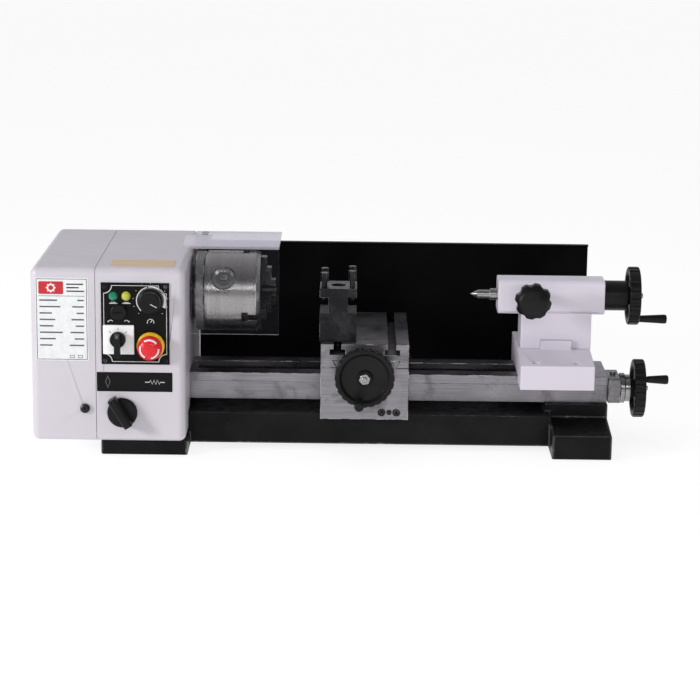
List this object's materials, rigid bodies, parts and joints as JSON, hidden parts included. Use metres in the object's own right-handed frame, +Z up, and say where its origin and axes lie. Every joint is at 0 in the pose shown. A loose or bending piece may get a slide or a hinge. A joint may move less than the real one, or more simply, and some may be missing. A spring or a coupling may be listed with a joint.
{
  "type": "bench metal lathe",
  "caption": "Small bench metal-turning lathe: enclosed headstock with jaw chuck and clear guard, flat-way bed, carriage with tool post, tailstock and crank handwheels.",
  "frame": {"origin": "on the bench face, at the centre of the pattern of tapped holes under the feet, straight below the spindle axis", "axes": "+X along the bed from the headstock to the tailstock, +Y from the operator to the splash guard, +Z up"},
  "size_m": [0.623, 0.2525, 0.198],
  "materials": {
    "casting_black": "rough sprayed casting",
    "ground_iron": "ground, oiled",
    "machine_iron": "as machined",
    "cover_paint": "satin",
    "tail_paint": "satin",
    "splash_black": "semi gloss",
    "bright_steel": "turned",
    "bearing_steel": "ground",
    "black_steel": "black oxide",
    "panel_black": "satin film",
    "lamp_lens": "clear tinted",
    "black_plastic": "moulded",
    "white_plastic": "moulded",
    "yellow_plastic": "moulded",
    "red_plastic": "moulded",
    "board_green": "printed board",
    "motor_paint": "satin",
    "belt_rubber": "ribbed",
    "pulley_alloy": "turned",
    "gear_steel": "hobbed",
    "clear_acrylic": "clear",
    "clear_arm": "satin"
  },
  "bodies": {
    "frame": {"base_casting": "casting_black", "bed": "ground_iron", "headstock_casting": "machine_iron", "headstock_cover": "cover_paint", "bearing_outer_rings": "bearing_steel", "bearing_cover": "black_steel", "control_panel": "panel_black", "indicator_lamps": "lamp_lens", "fuse_holder": "black_plastic", "switch_plate": "white_plastic", "estop_collar": "yellow_plastic", "control_board": "board_green", "motor": "motor_paint", "drive_belt": "belt_rubber", "mains_inlet": "black_plastic", "splash_guard": "splash_black", "frame_screws": "black_steel", "gear_banjo": "machine_iron", "leadscrew_bearing": "machine_iron"},
    "gear_cover": {"gear_cover": "cover_paint", "cover_screw": "black_steel"},
    "guard": {"chuck_guard": "clear_acrylic", "guard_arm": "clear_arm"},
    "spindle": {"spindle": "bright_steel", "bearing_inner_rings": "bearing_steel", "spindle_pulley": "pulley_alloy", "spindle_gear": "gear_steel", "chuck_backplate": "machine_iron", "chuck_body": "bright_steel"},
    "scroll": {"chuck_scroll": "bright_steel"},
    "motor_shaft": {"motor_pulley": "pulley_alloy"},
    "compound_gear": {"compound_gear": "gear_steel"},
    "input_shaft": {"lead_gear": "gear_steel"},
    "leadscrew": {"leadscrew": "bright_steel", "leadscrew_dial": "bright_steel", "leadscrew_handwheel": "black_plastic"},
    "clutch_sleeve": {"clutch_sleeve": "gear_steel"},
    "feed_knob": {"feed_knob": "black_plastic"},
    "speed_knob": {"speed_knob": "black_plastic"},
    "direction_knob": {"direction_knob": "black_plastic"},
    "estop_button": {"estop_button": "red_plastic"},
    "carriage": {"saddle": "ground_iron", "feed_nut": "black_steel"},
    "cross_slide": {"cross_slide": "ground_iron"},
    "cross_screw": {"cross_screw": "bright_steel", "cross_handwheel": "black_plastic"},
    "tool_post": {"tool_post": "black_steel", "tool_post_screws": "black_steel"},
    "tailstock": {"tailstock_base": "tail_paint", "tailstock_body": "tail_paint"},
    "quill": {"quill": "bright_steel", "dead_centre": "bright_steel"},
    "quill_wheel": {"tailstock_handwheel": "black_plastic"},
    "quill_lock": {"quill_lock_knob": "black_plastic"},
    "jaw_1": {"chuck_jaw_1": "black_steel"},
    "pinion_1": {"chuck_pinion_1": "bright_steel"},
    "jaw_2": {"chuck_jaw_2": "black_steel"},
    "pinion_2": {"chuck_pinion_2": "bright_steel"},
    "jaw_3": {"chuck_jaw_3": "black_steel"},
    "pinion_3": {"chuck_pinion_3": "bright_steel"}
  },
  "joints": [
    {"name": "spindle_spin", "type": "hinge", "parent": "frame", "child": "spindle", "pos_m": [-0.2, 0, 0.146], "axis": [1, 0, 0], "continuous": true},
    {"name": "motor_spin", "type": "hinge", "parent": "frame", "child": "motor_shaft", "pos_m": [-0.25, 0.08, 0.096], "axis": [1, 0, 0], "continuous": true},
    {"name": "compound_spin", "type": "hinge", "parent": "frame", "child": "compound_gear", "pos_m": [-0.271, -0.01938, 0.101], "axis": [1, 0, 0], "continuous": true},
    {"name": "input_spin", "type": "hinge", "parent": "frame", "child": "input_shaft", "pos_m": [-0.28, -0.02, 0.056], "axis": [1, 0, 0], "continuous": true},
    {"name": "chuck_scroll_turn", "type": "hinge", "parent": "spindle", "child": "scroll", "pos_m": [-0.12, 0, 0.146], "axis": [1, 0, 0], "range_deg": [-172.8, 576]},
    {"name": "jaw_1_slide", "type": "slide", "parent": "spindle", "child": "jaw_1", "axis": [0, 0, 1], "range_m": [-0.00241, 0.00801]},
    {"name": "pinion_1_turn", "type": "hinge", "parent": "spindle", "child": "pinion_1", "pos_m": [-0.133, -0.02598, 0.161], "axis": [0, -0.866, 0.5], "range_deg": [-605, 2016.5]},
    {"name": "jaw_2_slide", "type": "slide", "parent": "spindle", "child": "jaw_2", "axis": [0, -0.866, -0.5], "range_m": [-0.00241, 0.00801]},
    {"name": "pinion_2_turn", "type": "hinge", "parent": "spindle", "child": "pinion_2", "pos_m": [-0.133, 0, 0.116], "axis": [0, 0, -1], "range_deg": [-605, 2016.5]},
    {"name": "jaw_3_slide", "type": "slide", "parent": "spindle", "child": "jaw_3", "axis": [0, 0.866, -0.5], "range_m": [-0.00241, 0.00801]},
    {"name": "pinion_3_turn", "type": "hinge", "parent": "spindle", "child": "pinion_3", "pos_m": [-0.133, 0.02598, 0.161], "axis": [0, 0.866, 0.5], "range_deg": [-605, 2016.5]},
    {"name": "chuck_guard_swing", "type": "hinge", "parent": "frame", "child": "guard", "pos_m": [-0.165, 0.052, 0.176], "axis": [-1, 0, 0], "range_deg": [0, 100]},
    {"name": "gear_cover_pull", "type": "slide", "parent": "frame", "child": "gear_cover", "axis": [-1, 0, 0], "range_m": [0, 0.08]},
    {"name": "leadscrew_turn", "type": "hinge", "parent": "frame", "child": "leadscrew", "pos_m": [0.25, -0.02, 0.056], "axis": [-1, 0, 0], "range_deg": [-9150, 22850]},
    {"name": "carriage_slide", "type": "slide", "parent": "frame", "child": "carriage", "axis": [1, 0, 0], "range_m": [-0.038, 0.095]},
    {"name": "feed_knob_turn", "type": "hinge", "parent": "frame", "child": "feed_knob", "pos_m": [-0.227, -0.098, 0.0444], "axis": [0, -1, 0], "range_deg": [0, 40.1]},
    {"name": "clutch_slide", "type": "slide", "parent": "leadscrew", "child": "clutch_sleeve", "axis": [-1, 0, 0], "range_m": [0, 0.005]},
    {"name": "speed_knob_turn", "type": "hinge", "parent": "frame", "child": "speed_knob", "pos_m": [-0.199, -0.1, 0.1553], "axis": [0, 1, 0], "range_deg": [0, 280]},
    {"name": "direction_knob_turn", "type": "hinge", "parent": "frame", "child": "direction_knob", "pos_m": [-0.2302, -0.1, 0.1178], "axis": [0, 1, 0], "range_deg": [-45, 45]},
    {"name": "estop_press", "type": "slide", "parent": "frame", "child": "estop_button", "axis": [0, 1, 0], "range_m": [0, 0.004]},
    {"name": "cross_screw_turn", "type": "hinge", "parent": "carriage", "child": "cross_screw", "pos_m": [0.007, 0, 0.082], "axis": [0, 1, 0], "range_deg": [-6150, 9750]},
    {"name": "cross_slide_move", "type": "slide", "parent": "carriage", "child": "cross_slide", "axis": [0, 1, 0], "range_m": [-0.017, 0.027]},
    {"name": "tool_post_swivel", "type": "hinge", "parent": "cross_slide", "child": "tool_post", "pos_m": [-0.0195, -0.04475, 0.11], "axis": [0, 0, 1], "range_deg": [-90, 90]},
    {"name": "tailstock_slide", "type": "slide", "parent": "frame", "child": "tailstock", "axis": [1, 0, 0], "range_m": [-0.1, 0.014]},
    {"name": "quill_wheel_turn", "type": "hinge", "parent": "tailstock", "child": "quill_wheel", "pos_m": [0.25, 0, 0.146], "axis": [-1, 0, 0], "range_deg": [0, 9625]},
    {"name": "quill_slide", "type": "slide", "parent": "tailstock", "child": "quill", "axis": [-1, 0, 0], "range_m": [0, 0.04]},
    {"name": "quill_lock_turn", "type": "hinge", "parent": "tailstock", "child": "quill_lock", "pos_m": [0.171, -0.05, 0.15], "axis": [0, 1, 0], "range_deg": [-360, 0]}
  ],
  "couplings": [
    {"joint": "motor_spin", "follows": "spindle_spin", "ratio": 2.5455},
    {"joint": "compound_spin", "follows": "spindle_spin", "ratio": -0.44118},
    {"joint": "input_spin", "follows": "spindle_spin", "ratio": 0.12605},
    {"joint": "leadscrew_turn", "follows": "carriage_slide", "rad_per_m": 4188.8},
    {"joint": "feed_knob_turn", "follows": "clutch_slide", "rad_per_m": 139.63},
    {"joint": "cross_screw_turn", "follows": "cross_slide_move", "rad_per_m": 6283.2},
    {"joint": "quill_wheel_turn", "follows": "quill_slide", "rad_per_m": 4188.8},
    {"joint": "jaw_1_slide", "follows": "chuck_scroll_turn", "m_per_rad": 0.00079577},
    {"joint": "pinion_1_turn", "follows": "chuck_scroll_turn", "ratio": 3.5},
    {"joint": "jaw_2_slide", "follows": "chuck_scroll_turn", "m_per_rad": 0.00079577},
    {"joint": "pinion_2_turn", "follows": "chuck_scroll_turn", "ratio": 3.5},
    {"joint": "jaw_3_slide", "follows": "chuck_scroll_turn", "m_per_rad": 0.00079577},
    {"joint": "pinion_3_turn", "follows": "chuck_scroll_turn", "ratio": 3.5}
  ]
}
